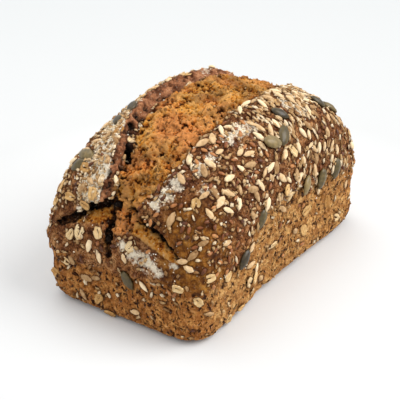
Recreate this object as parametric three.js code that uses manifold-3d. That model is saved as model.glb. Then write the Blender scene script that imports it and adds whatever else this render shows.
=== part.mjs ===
// Seeded rye loaf baked in a tin: one baked solid with a flared, tin-pressed lower body, a domed
// crust and a torn split along the top that shows the rough crumb inside.
// Millimetres, +Z up. X runs along the loaf, Y across it, and the origin is the middle of the base.
// The near end is the one at -X, where the split breaks into three cracks.
import * as THREE from "three";
import { mergeVertices } from "three/addons/utils/BufferGeometryUtils.js";
import { ConvexGeometry } from "three/addons/geometries/ConvexGeometry.js";
import { ImprovedNoise } from "three/addons/math/ImprovedNoise.js";
import Module from "manifold-3d";

// The tin-pressed body
const baseLength = 172;
const baseWidth = 104.5;
const tinDraft = THREE.MathUtils.degToRad(4);
const baseCornerRadius = 17;
const baseEdgeRadius = 5;
const sideWallHeight = 59; // where the dough touched the long walls of the tin
const endWallHeight = 36; // and where it touched the short ones
const wallBulge = 4; // how far the walls belly out halfway up
const waistDepth = 2.5; // how far the long walls draw in at the middle of the base
const creaseX = -22; // an upright crease in the long walls
const creaseDepth = 1.4;
const creaseWidth = 7;

// The domed crust above the tin line
const loafHeight = 110;
const crustOverhang = 2; // how far the crust rolls out over the tin line
const crownCornerRadius = 13;
const leftRoundness = 2.75; // superellipse powers: 2 is a round arch, more is squarer
const rightRoundness = 3.3;
const lengthRoundness = 2.25;
const crustLump = 1.1;
const crustLumpSize = 26;

// The split along the top: the lips are the edges of the torn crust, at even steps along X
const splitOverrun = 10; // how far its line runs on past each end of the base
const splitHalfLength = baseLength / 2 + splitOverrun;
const leftLip = [15, 18, 30.5, 38, 38.5, 31, 18];
const rightLip = [-1, -21, -23.5, -24, -23.5, -17, -10];
const leftLipRise = 3;
const rightLipRise = 1.5;
const lipReach = 14; // how far from its edge a lip starts to rise
const tornBandWidth = [4, 4.5, 7, 11, 15, 15, 10]; // how far the left lip's torn edge slopes into the split
const tornBandDrop = 7; // and how far down
const lipUndercut = 5; // how far the tear then runs back under it
const splitFloor = 62; // the lowest point that the tear reaches on the ends
const tornRaggedness = 2.2;

// The crumb that shows in the split
const crumbInset = 3.5; // how far the crumb lies inside the ends of the crust
const crumbDrop = 1; // how far its crest stays below the crust's crest
const crumbHollow = [6, 6, 5, 3, 1.5, 1.5, 3]; // how much lower it lies beside the left lip
const crumbHollowWidth = 16;
const crumbLump = 2.2;
const crumbLumpSize = 9;

// The cracks that leave the foot of the split on the near end: each runs through points of
// [across, up from the split's floor, depth in from the end of the base, width], and is deepest
// at its upper side by this share of its width
const crackMouth = baseLength / 2 + 10;
const cracks = [
  { upperSide: 0.35, path: [[9, 7, 15, 13], [23, 2, 13, 9], [33, -2.5, 10, 4], [47, -10, 4, 2]] },
  { upperSide: 0, path: [[8, 4, 13, 4.5], [7, -17, 3, 2.5]] },
  { upperSide: 0.35, path: [[-5, 8, 12, 9], [-16, 4.5, 8, 8], [-27, 0.5, 6, 7], [-40, -5.5, 2, 4]] },
];

const noise = new ImprovedNoise();
const wasm = await Module();
wasm.setup();

// A smooth line through values at even steps from -splitHalfLength to splitHalfLength.
function lineAlong(values) {
  const step = (2 * splitHalfLength) / (values.length - 1);
  const points = values.map((y, i) => new THREE.Vector2(i * step - splitHalfLength, y));
  const curve = new THREE.SplineCurve(points);
  return (x) => {
    const share = (x + splitHalfLength) / (2 * splitHalfLength);
    return curve.getPoint(THREE.MathUtils.clamp(share, 0, 1)).y;
  };
}

const leftLipAt = lineAlong(leftLip);
const rightLipAt = lineAlong(rightLip);
const bandWidthAt = lineAlong(tornBandWidth);
const hollowAt = lineAlong(crumbHollow);

// Moves a point of the square from -1 to 1 into a rectangle with round corners.
function roundedPlan(u, v, halfLength, halfWidth, radius) {
  const x = Math.abs(u) * halfLength;
  const y = Math.abs(v) * halfWidth;
  const s = (x - halfLength + radius) / radius;
  const t = (y - halfWidth + radius) / radius;
  if (s <= 0 || t <= 0) return new THREE.Vector2(Math.sign(u) * x, Math.sign(v) * y);
  return new THREE.Vector2(
    Math.sign(u) * (halfLength - radius + radius * s * Math.sqrt(1 - (t * t) / 2)),
    Math.sign(v) * (halfWidth - radius + radius * t * Math.sqrt(1 - (s * s) / 2)),
  );
}

// One quarter of a superellipse arch: 1 at the middle, 0 at the edge.
const arch = (t, power) => Math.max(0, 1 - Math.abs(t) ** power) ** (1 / power);

// The height of the line where the dough last touched the tin.
const tinLine = (u) => endWallHeight + (sideWallHeight - endWallHeight) * (1 - u ** 4);

// How far the torn edges of the crust curl up at a point.
function lipRise(x, y) {
  const bump = (distance, rise) => rise * Math.exp(-((distance / lipReach) ** 2));
  return bump(y - leftLipAt(x), leftLipRise) + bump(rightLipAt(x) - y, rightLipRise);
}

// How much lower the crumb lies at a point, beside and under the left lip.
function crumbSink(x, y) {
  const edge = leftLipAt(x) - bandWidthAt(x) / 2;
  return hollowAt(x) * THREE.MathUtils.smoothstep(y, edge - crumbHollowWidth, edge);
}

// How far a long wall is drawn in, by the waist near the base and by the upright crease.
function wallDraw(x, level) {
  const up = level / sideWallHeight;
  const waist = waistDepth * Math.exp(-((x / (baseLength / 4)) ** 2)) * (1 - up);
  const crease = creaseDepth * Math.exp(-(((x - creaseX) / creaseWidth) ** 2)) * (1 - up ** 2);
  return waist + crease;
}

// A closed body of the loaf's shape, from a box whose faces become the base, walls and crown.
// inset keeps it inside the crust and topAt raises or lowers its crown.
function loafBody({ along, across, rows, inset, height, topAt, lump, lumpSize }) {
  const geometry = new THREE.BoxGeometry(2, 2, 2, along, across, rows);
  const position = geometry.getAttribute("position");
  const p = new THREE.Vector3();
  for (let i = 0; i < position.count; i++) {
    p.fromBufferAttribute(position, i);
    const onCrown = p.z > 0.999;
    const u = Math.sin((p.x * Math.PI) / 2);
    const v = Math.sin((p.y * Math.PI) / 2);
    const share = (p.z + 1) / 2;
    const line = tinLine(u) - inset;
    const level = line * share ** 1.6;
    const edge = Math.max(0, baseEdgeRadius - level);
    const foot = baseEdgeRadius - Math.sqrt(baseEdgeRadius ** 2 - edge ** 2);
    const bulge = wallBulge * Math.sin(Math.PI * share ** 0.8);
    const rolled = crustOverhang * THREE.MathUtils.smoothstep(share, 0.75, 1);
    const grow = level * Math.tan(tinDraft) + bulge - foot + rolled - inset;
    const radius = THREE.MathUtils.lerp(baseCornerRadius, crownCornerRadius, share);
    const plan = roundedPlan(u, v, baseLength / 2 + grow, baseWidth / 2 + grow, radius);
    let z = level;
    if (onCrown) {
      const arches = arch(v, v > 0 ? leftRoundness : rightRoundness) * arch(u, lengthRoundness);
      z += (height - line + topAt(plan.x, plan.y)) * arches;
    } else {
      plan.y -= Math.sign(v) * Math.abs(v) ** 3 * wallDraw(plan.x, level);
    }
    const outwards = new THREE.Vector3(u ** 3, v ** 3, onCrown ? 1 : 0).normalize();
    const n = noise.noise(plan.x / lumpSize, plan.y / lumpSize, z / lumpSize);
    const settled = Math.min(1, z / 12); // the base stays flat
    p.set(plan.x, plan.y, z).addScaledVector(outwards, n * lump * settled);
    position.setXYZ(i, p.x, p.y, p.z);
  }
  return solidOf(geometry);
}

// The height of the uncut crust, left of the middle of the loaf.
function crustTopAt(x, y) {
  const u = THREE.MathUtils.clamp(x / (baseLength / 2 + wallBulge), -1, 1);
  const v = y / (baseWidth / 2 + wallBulge);
  const arches = arch(v, leftRoundness) * arch(u, lengthRoundness);
  return THREE.MathUtils.lerp(tinLine(u), loafHeight, arches);
}

// The space that the tear opens, from a box. Its left wall slopes in below the lip, then runs back
// under it.
function tearSpace() {
  const geometry = new THREE.BoxGeometry(2, 2, 2, 44, 3, 12);
  const position = geometry.getAttribute("position");
  for (let i = 0; i < position.count; i++) {
    const x = position.getX(i) * splitHalfLength;
    const across = (position.getY(i) + 1) / 2;
    const clear = Math.max(crustTopAt(x, 0) + leftLipRise, splitFloor) + 4;
    const z = THREE.MathUtils.lerp(splitFloor, clear, (position.getZ(i) + 1) / 2);
    const below = crustTopAt(x, leftLipAt(x)) + leftLipRise / 2 - z;
    const slope = bandWidthAt(x) * THREE.MathUtils.smoothstep(below, 0, tornBandDrop);
    const under = lipUndercut * THREE.MathUtils.smoothstep(below, tornBandDrop, tornBandDrop * 1.6);
    const ragged = noise.noise(x / 7, across * 4, 3.5) * tornRaggedness;
    const y = THREE.MathUtils.lerp(rightLipAt(x), leftLipAt(x) - slope + under, across) + ragged;
    position.setXYZ(i, x, y, z);
  }
  return solidOf(geometry);
}

// A crack: wedges that follow its path across the near end, open outwards and sharp inside.
function crack({ upperSide, path }) {
  const sections = path.map(([y, up, depth, width], i) => {
    const [before, after] = [path[Math.max(i - 1, 0)], path[Math.min(i + 1, path.length - 1)]];
    const run = new THREE.Vector2(after[0] - before[0], after[1] - before[1]).normalize();
    const side = new THREE.Vector2(-run.y, run.x).multiplyScalar(width * Math.sign(run.x || 1));
    const z = splitFloor + up;
    return [
      new THREE.Vector3(-crackMouth, y - side.x, z - side.y),
      new THREE.Vector3(-crackMouth, y + side.x, z + side.y),
      new THREE.Vector3(-baseLength / 2 + depth, y + side.x * upperSide, z + side.y * upperSide),
    ];
  });
  const wedges = sections.slice(1).map((end, i) => solidOf(new ConvexGeometry([...sections[i], ...end])));
  return wedges.reduce((whole, wedge) => whole.add(wedge));
}

// A closed mesh as a solid that can be cut and joined.
function solidOf(geometry) {
  geometry.deleteAttribute("normal");
  geometry.deleteAttribute("uv");
  const merged = mergeVertices(geometry, 1e-3);
  return new wasm.Manifold(
    new wasm.Mesh({
      numProp: 3,
      vertProperties: merged.getAttribute("position").array,
      triVerts: new Uint32Array(merged.index.array),
    }),
  );
}

function geometryOf(solid) {
  const mesh = solid.getMesh();
  const geometry = new THREE.BufferGeometry();
  geometry.setAttribute("position", new THREE.BufferAttribute(mesh.vertProperties, 3));
  geometry.setIndex(new THREE.BufferAttribute(mesh.triVerts, 1));
  geometry.computeVertexNormals();
  return geometry;
}

const crust = loafBody({
  along: 34,
  across: 24,
  rows: 5,
  inset: 0,
  height: loafHeight - leftLipRise / 2,
  topAt: lipRise,
  lump: crustLump,
  lumpSize: crustLumpSize,
});
const crumb = loafBody({
  along: 38,
  across: 28,
  rows: 1,
  inset: crumbInset,
  height: loafHeight - leftLipRise / 2 - crumbDrop,
  topAt: (x, y) => -crumbSink(x, y),
  lump: crumbLump,
  lumpSize: crumbLumpSize,
});

let solid = crust.subtract(tearSpace()).add(crumb);
for (const each of cracks) solid = solid.subtract(crack(each));
const baked = geometryOf(solid.simplify(0.08));

// The middle of the base is the origin.
baked.computeBoundingBox();
const middle = baked.boundingBox.getCenter(new THREE.Vector3());
baked.translate(-middle.x, -middle.y, -baked.boundingBox.min.z);

const loaf = new THREE.Mesh(
  baked,
  new THREE.MeshStandardMaterial({ name: "rye_crust", color: 0x8a5a34, roughness: 0.9, metalness: 0 }),
);
loaf.name = "loaf";

const tinLoaf = new THREE.Group();
tinLoaf.add(loaf);

export default tinLoaf;
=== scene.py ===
"""A seeded rye loaf baked in a tin, on a pale studio floor.

The baked loaf takes its shape from the CAD solid, which is refined, roughened zone by zone and coloured by
what each zone is: tin-pressed wall, free crust, torn crumb, crack or flour. The seeds, kernels, flakes and
flour grains are laid on it. The scene is in metres, in the CAD frame: X along the loaf, Y across it, Z up.
The loaf's lines and zones are given in millimetres, as in its CAD model.
"""
import math
import random

import bmesh
import bpy
import numpy as np
from bpy.props import FloatProperty, FloatVectorProperty, IntProperty, PointerProperty
from mathutils import Matrix, Vector, noise
from mathutils.bvhtree import BVHTree


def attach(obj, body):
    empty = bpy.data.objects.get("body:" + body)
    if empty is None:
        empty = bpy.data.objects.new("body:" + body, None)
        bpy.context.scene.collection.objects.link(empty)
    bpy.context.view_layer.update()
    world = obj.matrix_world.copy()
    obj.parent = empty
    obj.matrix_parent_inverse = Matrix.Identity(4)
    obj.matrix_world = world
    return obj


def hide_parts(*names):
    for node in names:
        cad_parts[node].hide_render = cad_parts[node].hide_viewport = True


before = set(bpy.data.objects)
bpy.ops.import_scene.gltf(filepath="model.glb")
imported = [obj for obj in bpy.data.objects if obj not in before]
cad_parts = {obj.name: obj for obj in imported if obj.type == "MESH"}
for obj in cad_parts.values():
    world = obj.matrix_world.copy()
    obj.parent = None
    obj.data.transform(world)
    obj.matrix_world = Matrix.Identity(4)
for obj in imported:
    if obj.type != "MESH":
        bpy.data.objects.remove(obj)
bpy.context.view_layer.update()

bl_info = {
    "name": "Seeded tin loaf",
    "version": (1, 0, 0),
    "blender": (4, 5, 0),
    "location": "View3D > Sidebar > Tin loaf",
    "description": "Bakes a seeded rye tin loaf with a torn split and lays its toppings on it",
    "category": "Object",
}

MM = 0.001
# Corners of the CAD mesh that are closer than this are the same corner
WELD = 0.01 * MM
# The most triangles that the baked loaf keeps
LOAF_TRIANGLES = 190000


def linear(code):
    """An sRGB hex colour as linear red, green, blue and alpha."""
    parts = [int(code[i:i + 2], 16) / 255 for i in (1, 3, 5)]
    return tuple(c / 12.92 if c <= 0.04045 else ((c + 0.055) / 1.055) ** 2.4 for c in parts) + (1.0,)


# ---------------------------------------------------------------- sizes and colours a user would change

class LoafSettings(bpy.types.PropertyGroup):
    """The baked loaf."""
    grain: FloatProperty(name="Remesh size", description="Spacing of the mesh that the crust is shaped on",
                         default=1.3 * MM, min=MM, max=4 * MM, subtype="DISTANCE", unit="LENGTH")
    crust_depth: FloatProperty(name="Crust relief", description="Depth of the fine cracks of the free crust",
                               default=1.5 * MM, subtype="DISTANCE", unit="LENGTH")
    pore_depth: FloatProperty(name="Pore depth", description="Depth of the pores in the tin-pressed wall",
                              default=1.3 * MM, subtype="DISTANCE", unit="LENGTH")
    crumb_depth: FloatProperty(name="Crumb relief", description="Depth of the torn crumb's holes and strands",
                               default=3.4 * MM, subtype="DISTANCE", unit="LENGTH")
    wall_colour: FloatVectorProperty(name="Tin-pressed crust", description="Colour of the pressed wall",
                                     default=linear("#bd8449"), size=4, subtype="COLOR")
    crust_colour: FloatVectorProperty(name="Free crust", description="Colour of the domed crust",
                                      default=linear("#8e552c"), size=4, subtype="COLOR")
    crumb_colour: FloatVectorProperty(name="Torn crumb", description="Colour of the crumb's strands",
                                      default=linear("#e0964a"), size=4, subtype="COLOR")


class ToppingSettings(bpy.types.PropertyGroup):
    """The seeds, flakes and flour on the crust."""
    seed: IntProperty(name="Seed", description="Changes where the loose toppings fall", default=7)
    pumpkin_length: FloatProperty(name="Pumpkin seed", description="Length of a pumpkin seed",
                                  default=14 * MM, subtype="DISTANCE", unit="LENGTH")
    sunflower_length: FloatProperty(name="Sunflower kernel", description="Length of a sunflower kernel",
                                    default=9.3 * MM, subtype="DISTANCE", unit="LENGTH")
    linseed_length: FloatProperty(name="Linseed", description="Length of a linseed",
                                  default=5 * MM, subtype="DISTANCE", unit="LENGTH")
    oat_length: FloatProperty(name="Oat flake", description="Length of a whole rolled oat",
                              default=9 * MM, subtype="DISTANCE", unit="LENGTH")
    amount: FloatProperty(name="Amount", description="How thickly the loose toppings lie",
                          default=1.0, min=0.1, max=2.0, subtype="FACTOR")


class StageSettings(bpy.types.PropertyGroup):
    """The floor, light and camera."""
    azimuth: FloatProperty(name="Camera azimuth", description="Turn of the camera round the loaf",
                           default=math.radians(-54.66), subtype="ANGLE", unit="ROTATION")
    elevation: FloatProperty(name="Camera elevation", description="Height of the camera above the horizon",
                             default=math.radians(30.42), subtype="ANGLE", unit="ROTATION")
    tilt: FloatProperty(name="Camera tilt", description="Roll of the camera about its own axis",
                        default=math.radians(-1.35), subtype="ANGLE", unit="ROTATION")
    distance: FloatProperty(name="Camera distance", description="Distance from the loaf to the camera",
                            default=0.95, subtype="DISTANCE", unit="LENGTH")
    floor_colour: FloatVectorProperty(name="Floor", description="Colour of the studio floor",
                                      default=linear("#cacac9"), size=4, subtype="COLOR")


# ---------------------------------------------------------------- the loaf's lines, as in its CAD model

# The split: half its length and the height of its floor. Then, at even steps from -X to +X, how far across
# its left lip lies, how wide the torn band inside that lip is, and how far across its right lip lies
SPLIT_HALF_LENGTH = 96
SPLIT_FLOOR = 62
LEFT_LIP = [15, 18, 30.5, 38, 38.5, 31, 18]
TORN_BAND = [4, 4.5, 7, 11, 15, 15, 10]
RIGHT_LIP = [-1, -21, -23.5, -24, -23.5, -17, -10]
# Cracks on the near end: points of across, up and width, in millimetres
CRACKS = [[(9, 69, 13), (23, 64, 9), (33, 59.5, 4), (47, 52, 2)],
          [(8, 66, 4.5), (7, 45, 2.5)],
          [(-5, 70, 9), (-16, 66.5, 8), (-27, 62.5, 7), (-40, 56.5, 4)]]
# A stretch of crack no wider than this at its start is dark right across, a wider one under its upper edge
NARROW_CRACK = 5
# The line up to which the dough was pressed by the tin: along the long walls, and across the ends
SIDE_TIN_LINE = [(-90, 36), (-66, 43), (-49, 43), (-38, 55), (-28, 61), (-8, 61), (17, 59), (39, 54),
                 (57, 51), (90, 40)]
END_TIN_LINE = [(-58, 36), (-46, 40), (-30, 38.5), (-9, 37), (6, 35), (21, 33), (36, 34), (58, 40)]


def smoothstep(low, high, x):
    t = np.clip((x - low) / (high - low), 0, 1)
    return t * t * (3 - 2 * t)


def line_along(values, x):
    """A Catmull-Rom line through values at even steps along the split, at x in millimetres."""
    n = len(values) - 1
    place = np.clip((x + SPLIT_HALF_LENGTH) / (2 * SPLIT_HALF_LENGTH), 0, 1) * n
    i = np.minimum(np.floor(place).astype(int), n - 1)
    t = place - i
    v = np.array(values, float)
    p0, p1, p2, p3 = v[np.maximum(i - 1, 0)], v[i], v[i + 1], v[np.minimum(i + 2, n)]
    a, b = (p2 - p0) / 2, (p3 - p1) / 2
    return (2 * p1 - 2 * p2 + a + b) * t**3 + (-3 * p1 + 3 * p2 - 2 * a - b) * t**2 + a * t + p1


def wander(points, size, seed=0.0):
    """A smooth random value from -1 to 1 at each point, that changes over about size millimetres."""
    shift = Vector((seed * 7.3, seed * 3.1, seed * 5.7))
    return np.array([noise.noise(Vector(p) / size + shift) for p in points])


def zones(points):
    """For points in millimetres: how far each is tin-pressed, torn crumb, torn band, in a crack, under a
    crack's upper edge, at the edge of crumb and band or on the base, from 0 to 1. Also where the tin line and
    the split's lips lie there."""
    x, y, z = points.T
    side = np.interp(x, *zip(*SIDE_TIN_LINE))
    end = np.interp(y, *zip(*END_TIN_LINE))
    on_end = smoothstep(80, 87, np.abs(x))
    line = side * (1 - on_end) + end * on_end + 3.5 * wander(points, 11, 1) + 1.6 * wander(points, 3.5, 9)
    pressed = 1 - smoothstep(-1.2, 1.2, z - line)
    left = line_along(LEFT_LIP, x)
    right = line_along(RIGHT_LIP, x)
    inner = left - line_along(TORN_BAND, x)
    jag = 1.8 * wander(points, 5, 2)
    open_split = smoothstep(-3, 1, z - SPLIT_FLOOR)
    crumb = smoothstep(0, 1.4, inner - y + jag) * smoothstep(0, 1.4, y - right - 0.6 + jag) * open_split
    band = smoothstep(0, 1.5, y - inner - jag) * (1 - smoothstep(0, 2.5, y - left - 0.5 - jag)) * open_split
    crack = np.zeros(len(points))
    under = np.zeros(len(points))
    near = smoothstep(-66, -74, x)
    for path in CRACKS:
        for (ay, az, aw), (by, bz, bw) in zip(path, path[1:]):
            run, rise = by - ay, bz - az
            t = np.clip(((y - ay) * run + (z - az) * rise) / (run ** 2 + rise ** 2), 0, 1)
            away = np.hypot(y - ay - t * run, z - az - t * rise)
            half = (aw + (bw - aw) * t) / 2
            inside = (1 - smoothstep(half - 0.3, half + 1.1, away + 0.7 * jag)) * near
            crack = np.maximum(crack, inside)
            above = 1.0
            if aw > NARROW_CRACK:
                upward = math.copysign(1, run) / math.hypot(run, rise)
                above = ((z - az) * run - (y - ay) * rise) * upward / half
            under = np.maximum(under, inside * smoothstep(0.0, 0.5, above + 0.15 * jag))
    base = 1 - smoothstep(0.6, 4.0, z)
    edge = np.exp(-((y - inner) / 4.5) ** 2) * open_split * (np.abs(x) < 80)
    return {"pressed": pressed, "crumb": crumb, "band": band * (1 - crumb) * (1 - crack), "crack": crack,
            "under": under, "edge": edge, "base": base, "line": line, "left": left, "right": right}


# Where flour caked on the crust: centre and radius in millimetres
FLOUR = [(-74, -24, 87, 7), (-68, -27, 92, 7), (-79, -20, 82, 5), (-54, -34, 97, 6), (-46, -35, 100, 5),
         (-25, -35, 104, 7), (-16, -35, 105, 8), (-7, -37, 104, 6), (33, -37, 102, 8), (36, -44, 100, 7),
         (45, -36, 101, 6), (55, -34, 98, 7), (-90, -20, 49, 8), (-90, -12, 51, 7), (-90, -28, 47, 6),
         (-89, -3, 54, 5), (-87, -38, 52, 4), (-62, -42, 89, 5), (50, 38, 96, 8), (72, 32, 86, 7),
         (-30, 46, 92, 7), (86, -20, 62, 8), (88, 15, 50, 7), (12, -57, 62, 5), (28, -57, 60, 5),
         (0, -57, 60, 4), (-86, 30, 66, 4), (-20, 58, 62, 5), (35, 58, 58, 5)]


def flour_at(points):
    """How thickly flour lies at each point, from 0 to 1: in patches, and along the ridge beside the split."""
    x, y, z = points.T
    past = y - line_along(LEFT_LIP, x) - 2.5 * wander(points, 9, 21)
    ridge = (smoothstep(0.5, 3, past) * (1 - smoothstep(12, 23, past)) * (1 - smoothstep(45, 75, x))
             * smoothstep(66, 76, z))
    most = ridge * 0.95
    for px, py, pz, r in FLOUR:
        away = np.linalg.norm(points - np.array([px, py, pz]), axis=1)
        most = np.maximum(most, 1 - smoothstep(0, r * 1.55, away))
    broken = 0.5 + 0.6 * wander(points, 3.4, 3) + 0.5 * wander(points, 1.5, 4)
    return np.clip(most * 1.4 - (1 - np.clip(broken, 0, 1)) * 1.1, 0, 1)


# ---------------------------------------------------------------- small helpers

def only(obj):
    """Leaves obj alone selected and active."""
    bpy.ops.object.select_all(action="DESELECT")
    obj.select_set(True)
    bpy.context.view_layer.objects.active = obj


def modify(obj, kind, **settings):
    """Adds a modifier with these settings and applies it."""
    only(obj)
    bpy.ops.object.modifier_add(type=kind)
    modifier = obj.modifiers[-1]
    for name, value in settings.items():
        setattr(modifier, name, value)
    bpy.ops.object.modifier_apply(modifier=modifier.name)


def vertex_array(mesh):
    """The mesh's vertices in millimetres."""
    flat = np.empty(len(mesh.vertices) * 3, np.float32)
    mesh.vertices.foreach_get("co", flat)
    return flat.reshape(-1, 3).astype(float) / MM


def group(obj, name, weights):
    """A vertex group with these weights."""
    made = obj.vertex_groups.get(name) or obj.vertex_groups.new(name=name)
    steps = np.round(weights * 20).astype(int)
    for step in range(1, 21):
        made.add(np.nonzero(steps == step)[0].tolist(), step / 20, "REPLACE")
    return made.name


def texture(name, kind, **settings):
    """A procedural texture for a Displace modifier."""
    made = bpy.data.textures.new(name, kind)
    for key, value in settings.items():
        setattr(made, key, value)
    return made


def attribute(mesh, name, values):
    """Stores a number on each of the mesh's vertices."""
    made = mesh.attributes.new(name, "FLOAT", "POINT")
    made.data.foreach_set("value", np.asarray(values, np.float32))


def search_tree(mesh):
    """The mesh's faces, ready to find the nearest one or the one that a ray meets."""
    corners = [v.co.copy() for v in mesh.vertices]
    return BVHTree.FromPolygons(corners, [tuple(p.vertices) for p in mesh.polygons])


def add(tree, kind, inputs=None, out=0, stops=(), **settings):
    """Adds a node with its settings and links, and gives one of its outputs. inputs maps a socket to a value,
    or to a socket to link from, and stops are a colour ramp's places, each with its hex colour or grey."""
    made = tree.nodes.new(kind)
    for name, value in settings.items():
        setattr(made, name, value)
    for name, value in (inputs or {}).items():
        if isinstance(value, bpy.types.NodeSocket):
            tree.links.new(value, made.inputs[name])
        else:
            made.inputs[name].default_value = value
    for i, (at, colour) in enumerate(stops):
        elements = made.color_ramp.elements
        stop = elements[i] if i < 2 else elements.new(at)
        stop.position = at
        stop.color = linear(colour) if isinstance(colour, str) else (colour, colour, colour, 1)
    return made.outputs[out]


def new_material(name):
    """A node material that holds only its Principled shader: (material, tree, shader)."""
    made = bpy.data.materials.new(name)
    made.use_nodes = True
    tree = made.node_tree
    return made, tree, tree.nodes["Principled BSDF"]


# ---------------------------------------------------------------- materials

RAMP, NOISE, CELLS = "ShaderNodeValToRGB", "ShaderNodeTexNoise", "ShaderNodeTexVoronoi"
MATH, MIX, VECTORS = "ShaderNodeMath", "ShaderNodeMix", "ShaderNodeVectorMath"
# A Mix node of colours: its sockets for how much, the colour below and the colour over it, and its settings
MUCH, BELOW, OVER = 0, 6, 7
COLOURS = {"out": 2, "data_type": "RGBA"}
MASKS = ("pressed", "crumb", "band", "crack", "flour", "toast", "hollow", "base", "amber", "relief", "cover",
         "ends", "beside")


def rye_bread(settings):
    """Rye bread baked in a tin. The dough takes the tin's flatness with the pores it holds, the free crust
    dries lumpy and browns darker, and the torn crumb stays golden and toasts at its tips: dry and matt."""
    made, tree, shader = new_material("baked_rye_bread")
    place = add(tree, "ShaderNodeTexCoord", out="Object")
    mask = {name: add(tree, "ShaderNodeAttribute", out="Fac", attribute_name=name) for name in MASKS}
    # Crumb grain of about 1 mm, mottling of about 5 mm, and browning that changes over 25 mm
    grain = add(tree, NOISE, {"Vector": place, "Scale": 1 / (1.5 * MM), "Detail": 5.0, "Roughness": 0.75})
    mottle = add(tree, NOISE, {"Vector": place, "Scale": 1 / (5 * MM), "Detail": 4.0, "Roughness": 0.65})
    browning = add(tree, NOISE, {"Vector": place, "Scale": 1 / (25 * MM), "Detail": 2.0})
    # Pores of 1 to 2 mm in the wall, drawn out upwards as the dough rose, some of them run together
    swirl = add(tree, NOISE, {"Vector": place, "Scale": 1 / (4 * MM), "Detail": 2.0}, out="Color")
    bent = add(tree, VECTORS, {0: swirl, 1: (3 * MM, 3 * MM, 3 * MM), 2: place}, operation="MULTIPLY_ADD")
    risen = add(tree, "ShaderNodeMapping", {"Vector": bent, "Scale": (1.0, 1.0, 0.65)})
    worm = add(tree, NOISE, {"Vector": risen, "Scale": 1 / (2.4 * MM), "Detail": 2.5, "Roughness": 0.55})
    small = add(tree, CELLS, {"Vector": bent, "Scale": 1 / (1.7 * MM)}, out="Distance")
    worm = add(tree, MATH, {0: mask["ends"], 1: -0.012, 2: worm}, operation="MULTIPLY_ADD")
    pore = add(tree, RAMP, {"Fac": worm}, stops=((0.36, 1.0), (0.43, 0.0)))
    prick = add(tree, RAMP, {"Fac": small}, stops=((0.06, 1.0), (0.22, 0.0)))
    pits = add(tree, MATH, {0: pore, 1: prick}, operation="MAXIMUM")
    half_toast = add(tree, MATH, {0: mask["toast"], 1: 0.5}, operation="MULTIPLY")

    # The pressed wall: tan to brown, darker in its grain, at the ends and on the base, with painted shade in
    # its pores
    tanned = add(tree, RAMP, {"Fac": mottle}, stops=((0.38, "#8e561f"), (0.5, "#c48a4b"), (0.62, "#f0be78")))
    dark_grain = add(tree, RAMP, {"Fac": grain}, stops=((0.36, 0.75), (0.52, 0.0)))
    wall = tanned
    for much, over in ((dark_grain, linear("#5e3410")), (0.35, tuple(settings.wall_colour)),
                       (pits, linear("#3e1e08"))):
        wall = add(tree, MIX, {MUCH: much, BELOW: wall, OVER: over}, **COLOURS)
    wall = add(tree, MIX, {MUCH: mask["ends"], BELOW: wall, OVER: linear("#efdcc6")}, blend_type="MULTIPLY",
               **COLOURS)
    # Darker towards the bottom, on the base
    base_darkening = add(tree, MATH, {0: mask["base"], 1: 0.6}, operation="MULTIPLY")
    wall = add(tree, MIX, {MUCH: base_darkening, BELOW: wall, OVER: linear("#6a4120")}, **COLOURS)

    # The free crust: brown, nearly black in its grain, amber at the near corner and darker where it toasted
    baked = add(tree, RAMP, {"Fac": mottle}, stops=((0.38, "#4c230c"), (0.5, "#9c6638"), (0.61, "#dca46a")))
    amber = add(tree, RAMP, {"Fac": mottle}, stops=((0.36, "#472409"), (0.5, "#865019"), (0.66, "#ba8036")))
    dark_grain = add(tree, RAMP, {"Fac": grain}, stops=((0.4, 0.95), (0.5, 0.0)))
    crust = add(tree, MIX, {MUCH: 0.4, BELOW: baked, OVER: tuple(settings.crust_colour)}, **COLOURS)
    for much, over in ((dark_grain, linear("#2c1307")), (mask["amber"], amber),
                       (half_toast, linear("#4a2714"))):
        crust = add(tree, MIX, {MUCH: much, BELOW: crust, OVER: over}, **COLOURS)

    # The crumb browns where it stands up, stays golden lower down and has painted shade in its holes and deep
    # places
    stands = add(tree, MATH, {0: mask["relief"], 1: 1.17}, operation="SUBTRACT")
    stands = add(tree, MATH, {0: mottle, 1: 2.0, 2: stands}, operation="MULTIPLY_ADD")
    raised = add(tree, MATH, {0: grain, 1: 1.1, 2: stands}, operation="MULTIPLY_ADD")
    gold = add(tree, RAMP, {"Fac": raised}, stops=((0.37, "#1a0701"), (0.5, "#984608"), (0.62, "#ee9024"),
                                                   (0.8, "#fcb048"), (1.0, "#fcbe6c")))
    brown = add(tree, RAMP, {"Fac": raised}, stops=((0.37, "#160601"), (0.5, "#883a0a"), (0.62, "#e67e32"),
                                                    (0.8, "#f8a860"), (1.0, "#ea9854")))
    browned = add(tree, RAMP, {"Fac": browning}, stops=((0.42, 0.0), (0.6, 1.0)))
    soft_pore = add(tree, MATH, {0: pore, 1: 0.7}, operation="MULTIPLY")
    crumb = gold
    for much, over in ((browned, brown), (0.15, tuple(settings.crumb_colour)),
                       (half_toast, linear("#54270f")), (soft_pore, linear("#3c1806"))):
        crumb = add(tree, MIX, {MUCH: much, BELOW: crumb, OVER: over}, **COLOURS)

    # The torn band beside the crumb is reddish skin with painted shade in its pricks; crack crumb has painted
    # shade
    skin = add(tree, RAMP, {"Fac": mottle}, stops=((0.36, "#5c341e"), (0.5, "#96603f"), (0.66, "#c2895f")))
    skin = add(tree, MIX, {MUCH: prick, BELOW: skin, OVER: linear("#4a2614")}, **COLOURS)
    shaded = add(tree, MIX, {MUCH: 0.55, BELOW: gold, OVER: linear("#54290b")}, **COLOURS)
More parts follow.
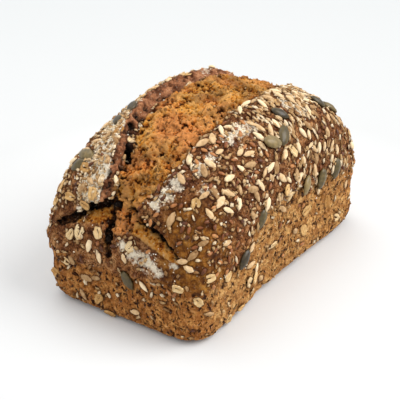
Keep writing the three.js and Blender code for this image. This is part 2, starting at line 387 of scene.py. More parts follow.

    # Over them come painted shade in hollows, in hemmed-in deep places and close round toppings, and caked
    # flour
    half_flour = add(tree, MATH, {0: mask["flour"], 1: 0.6}, operation="MULTIPLY")
    strewn = add(tree, MATH, {0: grain, 1: half_flour}, operation="ADD")
    dusted = add(tree, RAMP, {"Fac": strewn}, stops=((0.58, 0.0), (0.94, 0.92)))
    colour = crust
    for much, over in ((mask["pressed"], wall), (mask["band"], skin), (mask["crack"], shaded),
                       (mask["crumb"], crumb), (mask["hollow"], linear("#2e1508")),
                       (mask["cover"], linear("#150702")), (mask["beside"], linear("#3e1c08")),
                       (dusted, linear("#faedd4"))):
        colour = add(tree, MIX, {MUCH: much, BELOW: colour, OVER: over}, **COLOURS)
    tree.links.new(colour, shader.inputs["Base Color"])

    rough = add(tree, MATH, {0: mottle, 1: 0.4, 2: 0.56}, operation="MULTIPLY_ADD")
    dry = add(tree, MATH, {0: mask["crumb"], 1: 0.15, 2: rough}, operation="MULTIPLY_ADD", use_clamp=True)
    tree.links.new(dry, shader.inputs["Roughness"])
    shader.inputs["Specular IOR Level"].default_value = 0.12

    # Lumps and grain stand up, twice as much of the grain in torn crumb, and the wall's pores go down
    sunk = add(tree, MATH, {0: pits, 1: mask["pressed"]}, operation="MULTIPLY")
    lumps = add(tree, MATH, {0: mottle, 1: 1.6, 2: grain}, operation="MULTIPLY_ADD")
    torn = add(tree, MATH, {0: mask["crumb"], 1: grain}, operation="MULTIPLY")
    lumps = add(tree, MATH, {0: torn, 1: lumps}, operation="ADD")
    height = add(tree, MATH, {0: sunk, 1: -1.1, 2: lumps}, operation="MULTIPLY_ADD")
    bump = add(tree, "ShaderNodeBump", {"Height": height, "Strength": 1.0, "Distance": 1.5 * MM})
    tree.links.new(bump, shader.inputs["Normal"])
    return made


# A wave texture of this scale repeats once in a metre
WAVE_STEP = 0.314


def topping_material(name, colours, roughness, bump_mm, specular, ridge=None):
    """A dry seed or flake. colours are (dark, middle, light) for its patches; tone, on each piece, shifts it.
    ridge, if given, is the spacing in metres of fine grooves along the piece."""
    made, tree, shader = new_material(name)
    own = add(tree, "ShaderNodeAttribute", out="Vector", attribute_name="own")
    tone = add(tree, "ShaderNodeAttribute", out="Fac", attribute_name="tone")
    speckle = add(tree, NOISE, {"Vector": own, "Scale": 1 / (2.4 * MM), "Detail": 3.0})
    both = add(tree, MATH, {0: speckle, 1: tone}, operation="ADD")
    shade = add(tree, MATH, {0: both, 1: 0.5}, operation="MULTIPLY")
    colour = add(tree, RAMP, {"Fac": shade}, stops=tuple(zip((0.25, 0.5, 0.75), colours)))
    height = speckle
    if ridge:
        wave = add(tree, "ShaderNodeTexWave", {"Vector": own, "Scale": WAVE_STEP / ridge, "Distortion": 2.0,
                                               "Detail": 1.0}, "Fac", wave_type="BANDS", bands_direction="Y")
        # The grooves are painted darker too: painted shade in them
        groove = add(tree, RAMP, {"Fac": wave}, stops=((0.0, 0.6), (0.4, 0.0)))
        colour = add(tree, MIX, {MUCH: groove, BELOW: colour, OVER: linear(colours[0])}, **COLOURS)
        height = add(tree, MATH, {0: speckle, 1: wave}, operation="ADD")
    tree.links.new(colour, shader.inputs["Base Color"])
    gloss = add(tree, "ShaderNodeMapRange", {"Value": speckle, "To Min": roughness - 0.08,
                                             "To Max": roughness + 0.12})
    tree.links.new(gloss, shader.inputs["Roughness"])
    shader.inputs["Specular IOR Level"].default_value = specular
    bump = add(tree, "ShaderNodeBump", {"Height": height, "Strength": 0.6, "Distance": bump_mm * MM})
    tree.links.new(bump, shader.inputs["Normal"])
    return made


# ---------------------------------------------------------------- the loaf

class Surface:
    """The loaf's surface: the search tree, centres, normals and areas of its smooth faces, and the search
    tree of its skin once it is roughened."""
    tree = None
    points = None
    normals = None
    areas = None
    skin = None

    @classmethod
    def keep(cls, mesh):
        cls.tree = search_tree(mesh)
        cls.points = np.array([p.center for p in mesh.polygons]) / MM
        cls.normals = np.array([p.normal for p in mesh.polygons])
        cls.areas = np.array([p.area for p in mesh.polygons])


class TINLOAF_OT_bake(bpy.types.Operator):
    """Refine the CAD solid into the baked loaf, with its pores, lumps and torn crumb"""
    bl_idname = "tinloaf.bake"
    bl_label = "Bake the loaf"

    def execute(self, context):
        settings = context.scene.tin_loaf
        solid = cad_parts["loaf"]
        loaf = bpy.data.objects.new("rye_loaf", solid.data.copy())
        context.scene.collection.objects.link(loaf)
        loaf.data.materials.clear()
        only(loaf)
        bpy.ops.object.mode_set(mode="EDIT")
        bpy.ops.mesh.select_all(action="SELECT")
        bpy.ops.mesh.remove_doubles(threshold=WELD)
        bpy.ops.object.mode_set(mode="OBJECT")
        modify(loaf, "REMESH", mode="VOXEL", voxel_size=settings.grain)
        modify(loaf, "SMOOTH", factor=0.5, iterations=4)
        Surface.keep(loaf.data)
        modify(loaf, "SUBSURF", levels=1, render_levels=1)
        self.roughen(loaf, settings)
        faces = sum(len(p.vertices) - 2 for p in loaf.data.polygons)
        modify(loaf, "DECIMATE", ratio=min(1.0, LOAF_TRIANGLES / faces), use_collapse_triangulate=True)
        Surface.skin = search_tree(loaf.data)
        self.mark(loaf)
        loaf.data.materials.append(rye_bread(settings))
        only(loaf)
        bpy.ops.object.shade_smooth()
        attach(loaf, "root")
        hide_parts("loaf")
        return {"FINISHED"}

    def roughen(self, loaf, settings):
        """Gives each zone of the surface its own relief."""
        points = vertex_array(loaf.data)
        z = zones(points)
        rest = 1 - z["base"]
        crumb = np.maximum(z["crumb"], z["crack"] * 0.8) * rest
        band = z["band"] * 0.25
        free = (1 - z["pressed"]) * (1 - crumb) * rest
        above = points[:, 2] - z["line"]
        roll = smoothstep(-1.0, 1.5, above) * (1 - smoothstep(2.0, 14.0, above)) * (1 - crumb) * rest
        roll *= 1 - 0.8 * smoothstep(62, 84, points[:, 0])
        holed = z["pressed"] * rest * (0.35 + 0.65 * smoothstep(-0.35, 0.15, wander(points, 7, 12)))

        def relief(name, kind, strength, weights, middle=0.5, ramp=None, **look):
            made = texture(name, kind, **look)
            if ramp:
                made.use_color_ramp = True
                for stop, (place, value) in zip(made.color_ramp.elements, ramp):
                    stop.position = place
                    stop.color = (value, value, value, 1)
            modify(loaf, "DISPLACE", texture=made, texture_coords="LOCAL", strength=strength,
                   mid_level=middle, vertex_group=group(loaf, name, weights))

        def swell(name, strength, weights):
            modify(loaf, "DISPLACE", strength=strength, mid_level=0.0,
                   vertex_group=group(loaf, name, weights))

        # The crust rolled out over the tin line
        swell("roll", 2.0 * MM, roll)
        relief("crust_lumps", "CLOUDS", 3.6 * MM, free, noise_scale=8 * MM, noise_depth=2)
        relief("crust_cracks", "MUSGRAVE", settings.crust_depth, free, middle=0.6, noise_scale=3.2 * MM,
               musgrave_type="RIDGED_MULTIFRACTAL", noise_intensity=0.6)
        relief("wall_lumps", "CLOUDS", 1.6 * MM, z["pressed"] * rest, noise_scale=6 * MM, noise_depth=2)
        relief("wall_pores", "CLOUDS", settings.pore_depth, holed, middle=1.0, ramp=((0.3, 0.0), (0.46, 1.0)),
               noise_scale=2.4 * MM, noise_depth=1)
        relief("wall_pricks", "VORONOI", settings.pore_depth * 0.6, z["pressed"] * rest, middle=1.0,
               ramp=((0.1, 0.0), (0.4, 1.0)), noise_scale=1.5 * MM, noise_intensity=1.0)
        relief("crumb_mounds", "CLOUDS", settings.crumb_depth * 1.2, crumb, noise_scale=8 * MM, noise_depth=1)
        # Cracks go in under their upper edge
        swell("under", -3.2 * MM, z["under"])
        relief("edge_caves", "VORONOI", settings.crumb_depth * 2.2, z["edge"] * rest, middle=1.0,
               ramp=((0.22, 0.0), (0.58, 1.0)), noise_scale=7 * MM, noise_intensity=1.0)
        cavernous = crumb * (0.35 + 0.65 * smoothstep(-0.25, 0.35, wander(points, 12, 30)))
        relief("crumb_caves", "VORONOI", settings.crumb_depth * 1.15, np.maximum(cavernous, band),
               middle=0.75, ramp=((0.08, 0.0), (0.55, 1.0)), noise_scale=5 * MM, noise_intensity=1.0)
        relief("crumb_strands", "MUSGRAVE", settings.crumb_depth * 0.6, crumb, noise_scale=3.4 * MM,
               musgrave_type="RIDGED_MULTIFRACTAL", noise_intensity=0.7)
        relief("crumb_holes", "VORONOI", settings.crumb_depth * 0.5, np.maximum(crumb, band), middle=0.7,
               ramp=((0.05, 0.0), (0.5, 1.0)), noise_scale=1.9 * MM, noise_intensity=1.0)
        loaf.vertex_groups.clear()

    def mark(self, loaf):
        """Stores where the surface is pressed, torn, floured or toasted, and its painted shade in deep
        places.
        """
        points = vertex_array(loaf.data)
        x, y, height = points.T
        z = zones(points)
        crumb, free = z["crumb"], 1 - z["pressed"]
        torn = np.maximum(crumb, z["crack"])
        depth = np.empty(len(points))
        cover = np.empty(len(points))
        for i, v in enumerate(loaf.data.vertices):
            place, normal, _, _ = Surface.tree.find_nearest(v.co)
            depth[i] = (v.co - place).dot(normal) / MM
            cover[i] = self.covered(v.co, v.normal)
        # A place counts as hollow from about 0.7 mm below the smooth surface, and fully at 2 mm, for painted
        # shade
        hollow = smoothstep(-0.8, -2.0, depth) * z["pressed"] * 0.7
        hollow = np.clip(hollow + smoothstep(-0.6, -1.9, depth) * free * (1 - torn) * 0.8, 0, 1)
        # The crust toasts in patches, more towards the top, and the crumb at its right edge and on its crest
        toast = np.clip(0.35 + 1.4 * wander(points, 15, 5) + 0.6 * wander(points, 4, 6), 0, 1) * free
        toast *= 0.5 + 0.5 * smoothstep(20, 110, height)
        right_edge = smoothstep(4.5, 0, np.abs(y - z["right"] + 0.5)) * (height > SPLIT_FLOOR)
        toast = np.maximum(toast, right_edge * smoothstep(-0.1, 0.3, wander(points, 7, 8)))
        crest = smoothstep(-10, 35, x) * smoothstep(0, 18, y) * crumb
        toast = np.maximum(toast, crest * smoothstep(-0.45, 0.2, wander(points, 6, 17)))
        # The near right corner stays amber, and the loaf's ends bake browner, with more pores
        amber = smoothstep(-45, -75, x) * smoothstep(-20, -38, y) * (1 - smoothstep(80, 92, height))
        ends = smoothstep(70, 88, np.abs(x) + 6 * wander(points, 14, 33))
        marks = {"pressed": z["pressed"], "crumb": crumb, "band": z["band"], "crack": z["crack"],
                 "flour": flour_at(points) * (1 - torn), "toast": toast, "hollow": hollow, "base": z["base"],
                 # relief gives the crumb its painted shade in its deepest places
                 "amber": amber, "ends": ends, "relief": np.clip(0.35 + depth / 5.5, 0, 1),
                 # cover is painted shade: where the loaf hems a point in, and under each crack's upper edge
                 "cover": np.maximum(smoothstep(0.52, 0.85, cover), 0.9 * z["under"])}
        for name, values in marks.items():
            attribute(loaf.data, name, values)

    def covered(self, place, normal):
        """The share of directions out of a point that meet the loaf again nearby."""
        start = place + normal * 0.4 * MM
        aim = Matrix.Rotation(0, 3, "Z") if normal.z > 0.999 else normal.to_track_quat("Z", "Y").to_matrix()
        met = sum(Surface.skin.ray_cast(start, aim @ way, COVER_REACH)[0] is not None for way in HEMISPHERE)
        return met / len(HEMISPHERE)


# How far away the loaf can cover a point of its own surface
COVER_REACH = 12 * MM
# Directions spread evenly over half a sphere round +Z, each turned by the golden angle from the last
RAYS, GOLDEN_ANGLE = 12, 2.4
HEMISPHERE = []
for ray in range(RAYS):
    up = 0.15 + 0.85 * (ray + 0.5) / RAYS
    out = math.sqrt(1 - up * up)
    HEMISPHERE.append(Vector((math.cos(ray * GOLDEN_ANGLE) * out, math.sin(ray * GOLDEN_ANGLE) * out, up)))


# ---------------------------------------------------------------- the toppings

def blank(name, mesh_add, shape):
    """Models one topping: mesh_add adds a primitive, and shape moves each of its points. Returns its mesh."""
    bpy.ops.object.select_all(action="DESELECT")
    mesh_add()
    obj = bpy.context.object
    mesh = obj.data
    mesh.name = name
    for v in mesh.vertices:
        v.co = shape(v.co.copy())
    bpy.data.objects.remove(obj)
    return mesh


def teardrop(length, width, thick, point, flat=0.0, rough=0.0, seed=0):
    """Shapes a unit sphere into a seed: pointed at +X, flattened below and uneven by rough."""
    def shape(p):
        taper = 1 - point * max(0.0, p.x) ** 1.5
        q = Vector((p.x * length / 2, p.y * taper * width / 2, p.z * taper * thick / 2))
        if p.z < 0:
            q.z *= 1 - flat
        if rough:
            q += Vector([noise.noise(p * 2.3 + Vector((seed, i * 9.1, 0))) for i in range(3)]) * rough
        return q
    return shape


def flake(length, width, thick, seed):
    """Shapes a flat grid into a rolled oat: oval with a nicked rim, a crease along it and a slight curl."""
    def shape(p):
        r = max(abs(p.x), abs(p.y))
        a = math.atan2(p.y, p.x)
        rim = 1 + 0.34 * noise.noise(Vector((math.cos(a) * 1.9, math.sin(a) * 1.9, seed)))
        x, y = math.cos(a) * r * rim, math.sin(a) * r * rim
        crease = 0.8 * math.exp(-((y / 0.2) ** 2)) * (1 - r * r)
        z = 0.10 * (x * x) + 0.16 * y * y - crease + 0.12 * noise.noise(Vector((x * 2, y * 2, seed + 5)))
        return Vector((x * length / 2, y * width / 2, z * thick))
    return shape


def sphere(segments, rings):
    return lambda: bpy.ops.mesh.primitive_uv_sphere_add(segments=segments, ring_count=rings, radius=1)


def pebble():
    bpy.ops.mesh.primitive_ico_sphere_add(subdivisions=1, radius=1)


def sheet():
    bpy.ops.mesh.primitive_grid_add(x_subdivisions=6, y_subdivisions=6, size=2)


# The rough skin is sought from this far above the smooth surface, and this far down
SKIN_ABOVE, SKIN_REACH = 6 * MM, 14 * MM


def lying(point_mm, turn, lift, lean):
    """The place of a topping on the crust nearest to a point: laid flat, turned about the normal, leaning a
    little and raised by lift."""
    place, normal, _, _ = Surface.tree.find_nearest(Vector(point_mm) * MM)
    across = normal.cross(Vector((0, 0, 1)))
    if across.length < 0.1:
        across = Vector((1, 0, 0)) - normal * normal.x
    across.normalize()
    ahead = Matrix.Rotation(turn, 3, normal) @ across
    basis = Matrix((ahead, normal.cross(ahead), normal)).transposed()
    basis = basis @ Matrix.Rotation(lean[0], 3, "X") @ Matrix.Rotation(lean[1], 3, "Y")
    met = Surface.skin.ray_cast(place + normal * SKIN_ABOVE, -normal, SKIN_REACH)[0]
    return Matrix.Translation((met or place) + normal * lift) @ basis.to_4x4()


def leaning(rng, along, across):
    """How a topping leans each way, up to these angles in radians."""
    return rng.uniform(-along, along), rng.uniform(-across, across)


def gather(name, meshes, places, material, rng):
    """Joins a copy of a mesh at each place into one piece: places are (variant, matrix, scale)."""
    joined = bmesh.new()
    tone_layer = joined.verts.layers.float.new("tone")
    own_layer = joined.verts.layers.float_vector.new("own")
    for variant, matrix, size in places:
        mesh = meshes[variant]
        start = len(joined.verts)
        joined.from_mesh(mesh)
        joined.verts.ensure_lookup_table()
        tone = rng.random()
        shift = Vector((rng.random(), rng.random(), rng.random())) * 0.5
        full = matrix @ Matrix.Diagonal((*size, 1))
        for v in joined.verts[start:]:
            v[own_layer] = v.co + shift
            v[tone_layer] = tone
            v.co = full @ v.co
    mesh = bpy.data.meshes.new(name)
    joined.to_mesh(mesh)
    joined.free()
    obj = bpy.data.objects.new(name, mesh)
    bpy.context.scene.collection.objects.link(obj)
    mesh.materials.append(material)
    only(obj)
    bpy.ops.object.shade_smooth()
    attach(obj, "root")


class Scatter:
    """Where toppings already lie, so that whole seeds don't sit inside each other: they are kept in cells of
    cell millimetres. zones holds the zones of the smooth surface."""
    cell = 10
    taken = {}
    zones = {}

    @staticmethod
    def order(rng):
        """The surface's faces in random order."""
        indices = list(range(len(Surface.points)))
        rng.shuffle(indices)
        return indices

    @classmethod
    def free(cls, point, radius):
        """Takes the place at point if nothing lies within radius of it, and says whether it did."""
        key = tuple(int(c // cls.cell) for c in point)
        for dx in (-1, 0, 1):
            for dy in (-1, 0, 1):
                for dz in (-1, 0, 1):
                    for other, r in cls.taken.get((key[0] + dx, key[1] + dy, key[2] + dz), ()):
                        if (other - point).length < radius + r:
                            return False
        cls.taken.setdefault(key, []).append((point, radius))
        return True


def topping_zone(p, n, z):
    """The zone that a point in millimetres, with normal n, is in, for how thickly toppings lie."""
    x, y, height = p
    if height < 3 or n[2] < -0.75:
        return "base"
    if z["crumb"] > 0.3 or z["crack"] > 0.3 or z["band"] > 0.5:
        return "torn"
    if height < z["line"] - 1:
        return "wall_top" if height > z["line"] - 9 else "wall"
    if abs(x) > 84 and height < 72:
        return "end"
    if y < z["right"]:
        if height < z["line"] + 8 and x > -45:
            return "right_eave"
        if x > -8 and y < z["right"] - 17 and height < 92:
            return "right_slope"
        return "right_far" if x > -8 else ("corner" if x < -66 or (height < 78 and x < -40) else "right_near")
    return "left_ridge" if y - z["left"] < 20 and x < 50 else "left_flank"


SQUARE_CM_IN_M = 1e4
# Pieces per square centimetre in each zone
ZONES = ("right_far", "right_slope", "right_near", "right_eave", "corner", "left_ridge", "left_flank",
         "wall_top", "wall", "end", "torn")
DENSITY = {
    "sunflower": (2.6, 1.2, 1.8, 0.8, 0.3, 1.5, 0.6, 0.3, 0.05, 0.2, 0),
    "oat": (0.7, 0.6, 0.5, 0.5, 0.7, 1.6, 0.6, 0.35, 0.08, 0.25, 0),
    "linseed": (0.5, 0.8, 5.0, 0.6, 2.2, 0.4, 0.4, 0.3, 0.12, 0.3, 0),
    "broken": (14.0, 4.0, 6.0, 5.5, 3.5, 22.0, 8.0, 2.0, 0.5, 1.4, 0.12),
}
# Zones where the loose toppings lie mostly up the slope, and their mean turn there in radians
COMBED = ("right_far", "right_slope", "right_eave")
COMBED_TURN = 1.35


def spread(kind, rng, amount, clear=0.0):
    """Random points on the crust, as thick as the kind lies in each zone. Whole toppings are given clear, the
    radius in millimetres that each keeps free."""
    density = dict(zip(ZONES, DENSITY[kind]))
    found = []
    for i in Scatter.order(rng):
        here = {name: values[i] for name, values in Scatter.zones.items()}
        zone = topping_zone(Surface.points[i], Surface.normals[i], here)
        chance = density.get(zone, 0) * amount * Surface.areas[i] * SQUARE_CM_IN_M
        if rng.random() < chance:
            point = Vector(Surface.points[i])
            if clear == 0 or Scatter.free(point, clear):
                found.append((point, zone))
    return found


def turned(zone, rng, spread_by):
    """How a loose topping is turned: mostly up the slope in the combed zones, any way elsewhere."""
    return rng.gauss(COMBED_TURN, spread_by) if zone in COMBED else rng.uniform(0, math.tau)


# Pumpkin seeds, each with its place in millimetres and its turn in degrees
PUMPKIN = [(-65, 40, 90, 25), (-70, 43, 85, 60), (-38, 38, 103, 20), (-24, 36, 105, 15), (19, -41, 102, 120),
           (-5, -50, 96, 150), (8, -50, 95, 35), (61, -42, 92, 100), (70, -45, 86, 80), (55, -58, 54, 70),
           (36, -58, 56, 75), (18, -58, 60, 50), (-29, -58, 60, 60), (-49, -57, 43, 50), (-91, -7, 33, 115),
           (-8, 56, 84, 40), (30, 57, 78, 130), (58, 52, 74, 10), (74, 42, 70, 80), (20, 58, 62, 30),
           (-40, 58, 58, 100), (90, 10, 44, 60), (86, -25, 66, 20), (60, 58, 50, 140)]


class TINLOAF_OT_pumpkin_seeds(bpy.types.Operator):
    """Lay the pumpkin seeds on the crust"""
    bl_idname = "tinloaf.pumpkin_seeds"
    bl_label = "Pumpkin seeds"

    def execute(self, context):
        settings = context.scene.toppings
        rng = random.Random(settings.seed)
        Scatter.taken = {}
        Scatter.zones = zones(Surface.points)
        length = settings.pumpkin_length
        shapes = [teardrop(length, length * 0.56, length * 0.36, point=0.35, flat=0.5, rough=0.35 * MM,
                           seed=s) for s in (1, 2, 3)]
        meshes = [blank("pumpkin_seed", sphere(16, 10), shape) for shape in shapes]
        places = []
        for i, (x, y, z, turn) in enumerate(PUMPKIN):
            matrix = lying((x, y, z), math.radians(turn), lift=0.6 * MM, lean=leaning(rng, 0.2, 0.15))
            Scatter.free(matrix.translation / MM, radius=4.5)
            size = rng.uniform(0.9, 1.08)
            places.append((i % 3, matrix, (size, size, size)))
        # Roasted in its thin skin: dark olive with a paler dusty bloom, satin from its oil
        material = topping_material("roasted_pumpkin_seed_skin", ("#2c210a", "#564720", "#8a7448"),
                                    roughness=0.34, bump_mm=0.2, specular=0.45)
        gather("pumpkin_seeds", meshes, places, material, rng)
        return {"FINISHED"}


class TINLOAF_OT_sunflower_kernels(bpy.types.Operator):
    """Scatter the shelled sunflower kernels"""
    bl_idname = "tinloaf.sunflower_kernels"
    bl_label = "Sunflower kernels"

    def execute(self, context):
        settings = context.scene.toppings
        rng = random.Random(settings.seed + 1)
        length = settings.sunflower_length
        shapes = [teardrop(length, length * 0.44, length * 0.27, point=0.55, flat=0.3, rough=0.25 * MM,
                           seed=s) for s in (4, 5, 6)]
        meshes = [blank("sunflower_kernel", sphere(8, 7), shape) for shape in shapes]
        places = []
        for point, zone in spread("sunflower", rng, settings.amount, clear=2.6):
            matrix = lying(point, turned(zone, rng, 0.45), lift=0.35 * MM, lean=leaning(rng, 0.3, 0.25))
            size = rng.uniform(0.75, 1.05)
            places.append((rng.randrange(3), matrix, (size, size * rng.uniform(0.85, 1.1), size)))
        # Shelled kernels dried in the oven: pale, toasted tan in patches and matt
        material = topping_material("toasted_sunflower_kernel", ("#946f46", "#cca97c", "#edd4ac"),
                                    roughness=0.6, bump_mm=0.3, specular=0.2)
        gather("sunflower_kernels", meshes, places, material, rng)
        return {"FINISHED"}


class TINLOAF_OT_linseeds(bpy.types.Operator):
    """Scatter the linseeds"""
    bl_idname = "tinloaf.linseeds"
    bl_label = "Linseeds"

    def execute(self, context):
        settings = context.scene.toppings
        rng = random.Random(settings.seed + 2)
        length = settings.linseed_length
        shape = teardrop(length, length * 0.5, length * 0.34, point=0.45, flat=0.1)
        meshes = [blank("linseed", sphere(7, 6), shape)]
        places = []
        for point, zone in spread("linseed", rng, settings.amount, clear=1.6):
            matrix = lying(point, rng.uniform(0, math.tau), lift=0.3 * MM, lean=leaning(rng, 0.3, 0.3))
            size = rng.uniform(0.85, 1.1)
            places.append((0, matrix, (size, size, size)))
        # The seed's own smooth skin, reddish brown with a soft gloss
        material = topping_material("linseed_skin", ("#48220a", "#80471d", "#b67a44"),
                                    roughness=0.34, bump_mm=0.05, specular=0.32)
        gather("linseeds", meshes, places, material, rng)
        return {"FINISHED"}


class TINLOAF_OT_rolled_oats(bpy.types.Operator):
    """Scatter the whole and the broken rolled oats"""
    bl_idname = "tinloaf.rolled_oats"
    bl_label = "Rolled oats"

    def execute(self, context):
        settings = context.scene.toppings
        rng = random.Random(settings.seed + 3)
        length = settings.oat_length
        whole = []
        for s in (11, 12, 13):
            mesh = blank("oat_flake", sheet, flake(length, length * 0.66, 1.6 * MM, s))
            obj = bpy.data.objects.new("oat_flake", mesh)
            context.scene.collection.objects.link(obj)
            modify(obj, "SOLIDIFY", thickness=0.9 * MM, offset=-1)
            whole.append(obj.data)
            bpy.data.objects.remove(obj)
        places = []
        for point, zone in spread("oat", rng, settings.amount, clear=3.0):
            matrix = lying(point, rng.uniform(0, math.tau), lift=0.9 * MM, lean=leaning(rng, 0.3, 0.3))
            size = rng.uniform(0.7, 1.05)
            places.append((rng.randrange(3), matrix, (size, size * rng.uniform(0.85, 1.1), 1)))
        # Steam-rolled flakes toasted golden, with fine grooves along the grain every 0.7 mm
        material = topping_material("toasted_oat_flake", ("#ad7a3e", "#e0b678", "#f6dcac"),
                                    roughness=0.6, bump_mm=0.45, ridge=0.7 * MM, specular=0.2)
        gather("oat_flakes", whole, places, material, rng)

        shapes = [teardrop(4.6 * MM, 2.4 * MM, 1.3 * MM, point=0.3, flat=0.3, rough=0.9 * MM, seed=s)
                  for s in (21, 22, 23, 24)]
        bits = [blank("oat_bit", pebble, shape) for shape in shapes]
        places = []
        for point, zone in spread("broken", rng, settings.amount):
            matrix = lying(point, turned(zone, rng, 0.4), lift=0.3 * MM, lean=leaning(rng, 0.5, 0.3))
            long = rng.uniform(0.5, 1.5) if zone in COMBED else rng.uniform(0.35, 1.1)
            places.append((rng.randrange(4), matrix, (long, rng.uniform(0.5, 1.1), rng.uniform(0.6, 1.2))))
        # Crushed flakes, toasted unevenly from cream to brown: matt, with the same fine grooves
        material = topping_material("broken_toasted_oats", ("#8a5f34", "#d2ac78", "#f8e4c0"),
                                    roughness=0.65, bump_mm=0.4, ridge=0.6 * MM, specular=0.2)
        gather("broken_oats", bits, places, material, rng)
        return {"FINISHED"}


class TINLOAF_OT_flour(bpy.types.Operator):
    """Strew grains of flour where it caked on the crust"""
    bl_idname = "tinloaf.flour"
    bl_label = "Flour grains"

    def execute(self, context):
        settings = context.scene.toppings
        rng = random.Random(settings.seed + 4)
        shapes = [teardrop(1.0 * MM, 0.9 * MM, 0.7 * MM, point=0.0, rough=0.3 * MM, seed=s) for s in (31, 32)]
        grains = [blank("flour_grain", pebble, shape) for shape in shapes]
        caked = flour_at(Surface.points)
        whole = 1 - np.maximum(Scatter.zones["crumb"], Scatter.zones["crack"])
        # Thick where flour caked, and a stray grain here and there on the crust above 30 mm
        chance = caked * whole * 0.42 + 0.012 * whole * (Surface.points[:, 2] > 30)
        places = []
        for i in Scatter.order(rng):
            if rng.random() < chance[i]:
                point = Vector(Surface.points[i]) + Vector([rng.uniform(-0.7, 0.7) for _ in range(3)])
                matrix = lying(point, rng.uniform(0, math.tau), lift=0.35 * MM, lean=leaning(rng, 1, 1))
                size = rng.uniform(0.5, 1.3)
                places.append((rng.randrange(2), matrix, (size, size, size)))
        # Coarse flour and bran that caked as the dough rose: cream, chalky and almost fully matt
        material = topping_material("caked_wheat_flour", ("#d9c198", "#f0dfc0", "#fbf2e2"),
                                    roughness=0.85, bump_mm=0.1, specular=0.1)
        gather("flour_grains", grains, places, material, rng)
        return {"FINISHED"}


# How far from a topping the crust is looked at for painted shade
NEARBY = 2 * MM


class TINLOAF_OT_shade_round_toppings(bpy.types.Operator):
    """Paint shade on the crust close round every topping, as the contact shadow where each sits"""
    bl_idname = "tinloaf.bake_in"
    bl_label = "Shade round the toppings"

    def execute(self, context):
        corners, faces = [], []
        for name in ("pumpkin_seeds", "sunflower_kernels", "linseeds", "oat_flakes", "broken_oats"):
            mesh = bpy.data.objects[name].data
            start = len(corners)
            corners += [v.co.copy() for v in mesh.vertices]
            faces += [[start + i for i in p.vertices] for p in mesh.polygons]
        laid = BVHTree.FromPolygons(corners, faces)
        loaf = bpy.data.objects["rye_loaf"].data
        away = [laid.find_nearest(v.co, NEARBY)[3] for v in loaf.vertices]
        away = np.array([NEARBY if a is None else a for a in away]) / MM
        # beside is painted shade: the crust darkens within about 1.5 mm of a topping
        attribute(loaf, "beside", 0.8 * (1 - smoothstep(0.2, 1.5, away)))
        return {"FINISHED"}


# ---------------------------------------------------------------- the stage

# Wide softboxes far away: azimuth, elevation and apparent width in degrees, and strength
SOFTBOXES = {"key_softbox": (28, 42, 48, 2.45), "back_softbox": (160, 60, 50, 0.8),
             "left_softbox": (-110, 50, 60, 0.3)}
# The point that the camera looks at, in metres: its height, then how far it is moved right and up in the view
AIM_HEIGHT, AIM_RIGHT, AIM_UP = 0.04275, -0.0041, -0.00275
# The camera's sensor width and its lens, in millimetres
SENSOR, LENS = 36, 138.6


def towards(azimuth, elevation):
    """The direction from the loaf to a place at this azimuth, counted from -Y, and elevation."""
    level = math.cos(elevation)
    return Vector((math.sin(azimuth) * level, -math.cos(azimuth) * level, math.sin(elevation)))


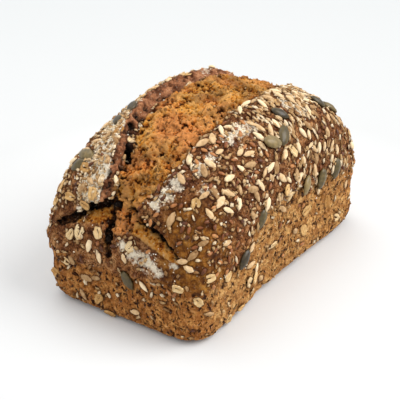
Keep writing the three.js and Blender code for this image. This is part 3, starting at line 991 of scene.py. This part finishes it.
class TINLOAF_OT_stage(bpy.types.Operator):
    """Set up the floor, the studio light and the camera"""
    bl_idname = "tinloaf.stage"
    bl_label = "Floor, light and camera"

    def execute(self, context):
        settings = context.scene.studio
        bpy.ops.object.select_all(action="DESELECT")
        bpy.ops.mesh.primitive_plane_add(size=8)
        floor = context.object
        floor.name = "floor"
        made, tree, shader = new_material("matt_studio_paper")
        place = add(tree, "ShaderNodeTexCoord", out="Object")
        tooth = add(tree, NOISE, {"Vector": place, "Scale": 4.0, "Detail": 2.0})
        reach = add(tree, VECTORS, {0: place}, out="Value", operation="LENGTH")
        # The paper is painted lighter round the loaf and darker far off: a painted pool of light and its
        # falloff
        paper = add(tree, RAMP, {"Fac": reach}, stops=((0.07, "#dededd"), (0.2, "#c4c5c4"), (0.7, "#b3b6b6")))
        shade = tuple(settings.floor_colour)
        for much, over in ((tooth, linear("#d0d0cf")), (0.9, paper)):
            shade = add(tree, MIX, {MUCH: much, BELOW: shade, OVER: over}, **COLOURS)
        tree.links.new(shade, shader.inputs["Base Color"])
        shader.inputs["Roughness"].default_value = 0.9
        floor.data.materials.append(made)

        world = bpy.data.worlds.new("studio")
        context.scene.world = world
        world.use_nodes = True
        sky = world.node_tree.nodes["Background"]
        sky.inputs["Color"].default_value = linear("#fcfdff")
        sky.inputs["Strength"].default_value = 0.95

        for name, (azimuth, elevation, width, strength) in SOFTBOXES.items():
            light = bpy.data.lights.new(name, "SUN")
            light.energy, light.angle = strength, math.radians(width)
            lamp = bpy.data.objects.new(name, light)
            back = towards(math.radians(azimuth), math.radians(elevation))
            lamp.rotation_euler = back.to_track_quat("Z", "Y").to_euler()
            context.scene.collection.objects.link(lamp)

        back = towards(settings.azimuth, settings.elevation)
        right = Vector((math.cos(settings.azimuth), math.sin(settings.azimuth), 0))
        up = back.cross(right)
        target = Vector((0, 0, AIM_HEIGHT)) + right * AIM_RIGHT + up * AIM_UP
        camera = bpy.data.objects.new("camera", bpy.data.cameras.new("camera"))
        camera.data.sensor_width = SENSOR
        camera.data.lens = LENS
        camera.data.clip_start = 0.01
        level = Matrix((right, up, back)).transposed()
        turn = (Matrix.Rotation(settings.tilt, 3, back) @ level).to_4x4()
        camera.matrix_world = Matrix.Translation(target + back * settings.distance) @ turn
        context.scene.collection.objects.link(camera)
        context.scene.camera = camera
        context.scene.view_settings.view_transform = "Standard"
        return {"FINISHED"}


# ---------------------------------------------------------------- the panel and the run

STEPS = (TINLOAF_OT_stage, TINLOAF_OT_bake, TINLOAF_OT_pumpkin_seeds, TINLOAF_OT_sunflower_kernels,
         TINLOAF_OT_linseeds, TINLOAF_OT_rolled_oats, TINLOAF_OT_shade_round_toppings, TINLOAF_OT_flour)


class TINLOAF_PT_panel(bpy.types.Panel):
    """The loaf's steps and settings"""
    bl_idname = "TINLOAF_PT_panel"
    bl_label = "Tin loaf"
    bl_space_type = "VIEW_3D"
    bl_region_type = "UI"
    bl_category = "Tin loaf"

    def draw(self, context):
        for owner in (context.scene.tin_loaf, context.scene.toppings, context.scene.studio):
            box = self.layout.box()
            for name in owner.__annotations__:
                box.prop(owner, name)
        for step in STEPS:
            self.layout.operator(step.bl_idname)


CLASSES = (LoafSettings, ToppingSettings, StageSettings, *STEPS, TINLOAF_PT_panel)


def register():
    for each in CLASSES:
        bpy.utils.register_class(each)
    bpy.types.Scene.tin_loaf = PointerProperty(type=LoafSettings)
    bpy.types.Scene.toppings = PointerProperty(type=ToppingSettings)
    bpy.types.Scene.studio = PointerProperty(type=StageSettings)


def unregister():
    del bpy.types.Scene.tin_loaf, bpy.types.Scene.toppings, bpy.types.Scene.studio
    for each in reversed(CLASSES):
        bpy.utils.unregister_class(each)


def main():
    register()
    bpy.ops.tinloaf.stage()
    bpy.ops.tinloaf.bake()
    bpy.ops.tinloaf.pumpkin_seeds()
    bpy.ops.tinloaf.sunflower_kernels()
    bpy.ops.tinloaf.linseeds()
    bpy.ops.tinloaf.rolled_oats()
    bpy.ops.tinloaf.bake_in()
    bpy.ops.tinloaf.flour()


if __name__ == "__main__":
    main()
